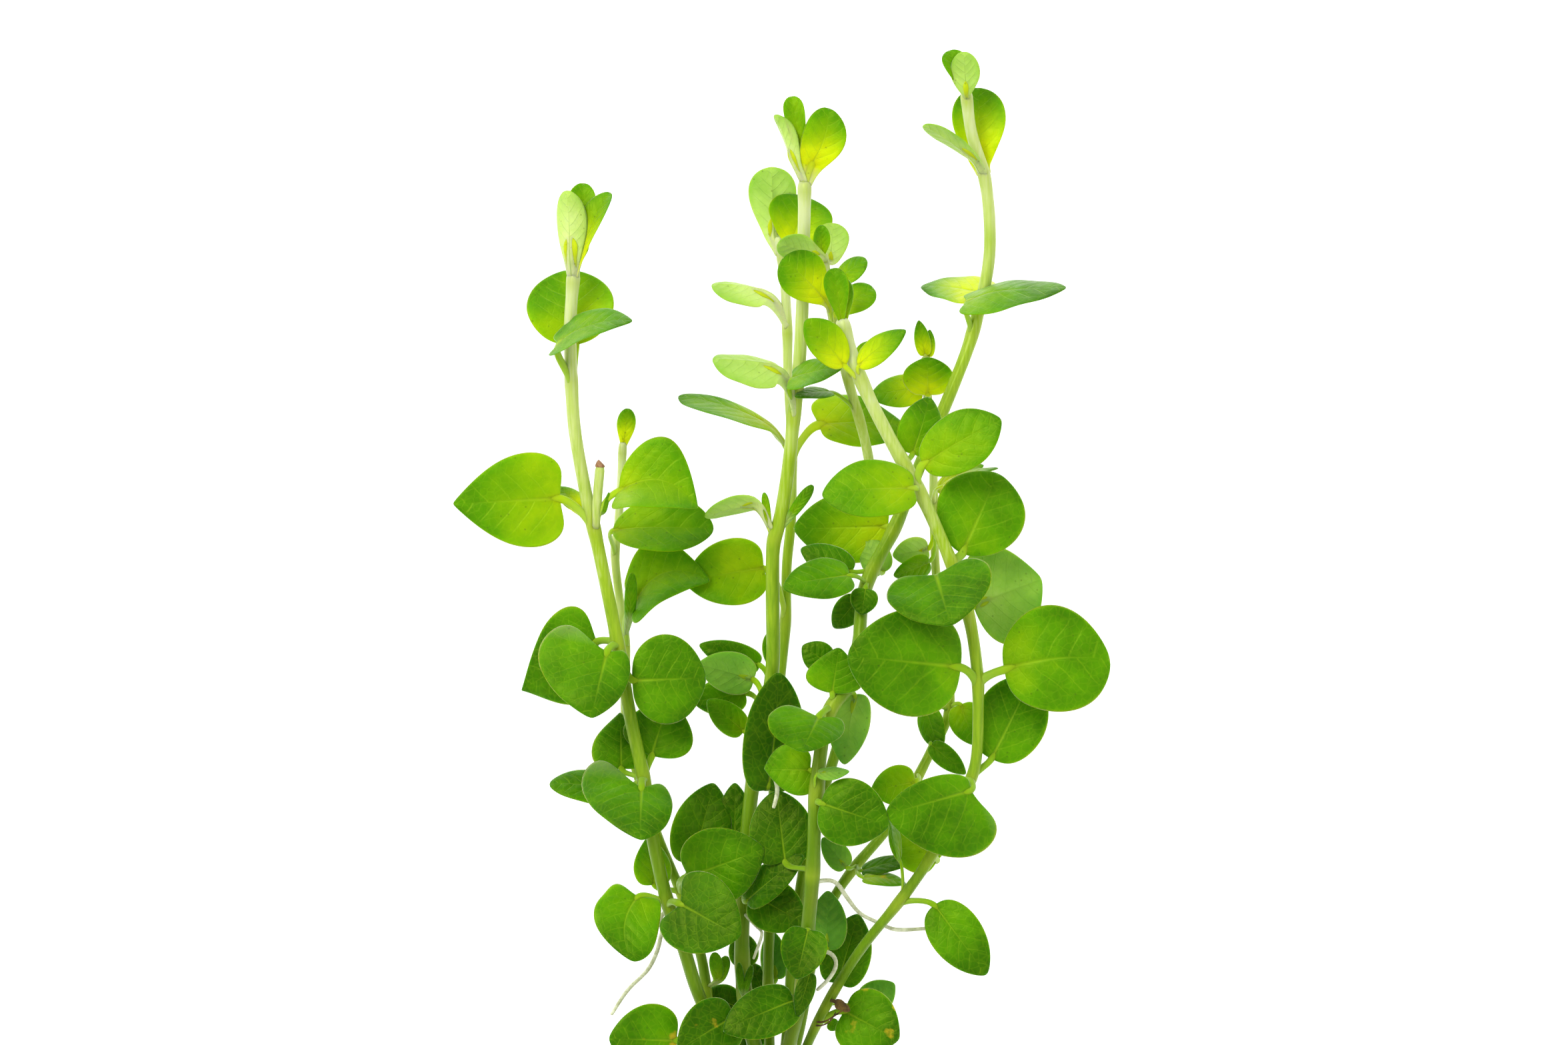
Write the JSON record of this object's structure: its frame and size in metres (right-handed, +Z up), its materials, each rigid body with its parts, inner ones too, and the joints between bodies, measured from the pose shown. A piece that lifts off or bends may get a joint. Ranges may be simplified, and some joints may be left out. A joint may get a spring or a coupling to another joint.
{
  "type": "creeping jenny plant",
  "caption": "Bunch of leafy creeping jenny shoots with round paired leaves, joined at a small rooted crown and lying flat.",
  "frame": {"origin": "on the surface that the plant lies on, under the middle of its outer box", "axes": "+Y along the shoots towards their tips, +Z up from the surface, +X to the right seen from above"},
  "size_m": [0.0982, 0.1636, 0.0364],
  "materials": {
    "young_leaf": "soft, slightly waxy, yellow-green",
    "leaf": "soft, slightly waxy, mid green",
    "old_leaf": "soft, slightly waxy, deep green",
    "stem": "smooth, pale green, fleshy",
    "crown": "matt, fibrous, brown"
  },
  "bodies": {
    "root": {"crown": "crown", "leaf_a2_back": "young_leaf", "leaf_a2_front": "young_leaf", "leaf_a3_left": "leaf", "leaf_a3_right": "leaf", "leaf_a4_front": "leaf", "leaf_a4_back": "leaf", "leaf_a4_right": "leaf", "leaf_a5_front": "leaf", "leaf_a5_right": "leaf", "leaf_a6_left": "old_leaf", "leaf_a6_right": "old_leaf", "leaf_a7_left": "old_leaf", "leaf_a7_front": "old_leaf", "leaf_b2_right": "leaf", "leaf_b3_right": "leaf", "leaf_b4_front": "old_leaf", "leaf_b4_up": "old_leaf", "leaf_c2_left": "young_leaf", "leaf_c2_right": "young_leaf", "leaf_c5_up": "old_leaf", "leaf_c6_right": "old_leaf", "leaf_c8_left": "old_leaf", "leaf_d1_back": "young_leaf", "leaf_d1_cup": "young_leaf", "leaf_d3_left": "young_leaf", "leaf_d5_left": "young_leaf", "leaf_d5_right": "young_leaf", "leaf_d6_left": "leaf", "leaf_e2_left": "young_leaf", "leaf_f2_left": "leaf", "leaf_f2_right": "leaf", "leaf_f3_right": "leaf", "leaf_f4_front": "leaf", "leaf_f4_right": "leaf", "leaf_f5_left": "leaf", "leaf_f5_right": "leaf", "leaf_f6_left": "leaf", "leaf_f6_right": "leaf", "leaf_f7_right": "old_leaf", "leaf_f8_left": "old_leaf", "leaf_f9_right": "old_leaf", "leaf_h1_back": "young_leaf", "leaf_h2_front": "young_leaf", "leaf_h2_back": "young_leaf", "leaf_h3_front": "leaf", "leaf_h3_back": "leaf", "leaf_h5_front": "leaf", "leaf_h6_left": "leaf", "leaf_h6_right": "old_leaf", "leaf_h7_left": "old_leaf", "leaf_h9_front": "old_leaf", "stem_a": "stem", "stem_b": "stem", "stem_c": "stem", "stem_d": "stem", "stem_e": "stem", "stem_f": "stem", "stem_g": "stem", "stem_h": "stem"}
  },
  "joints": []
}
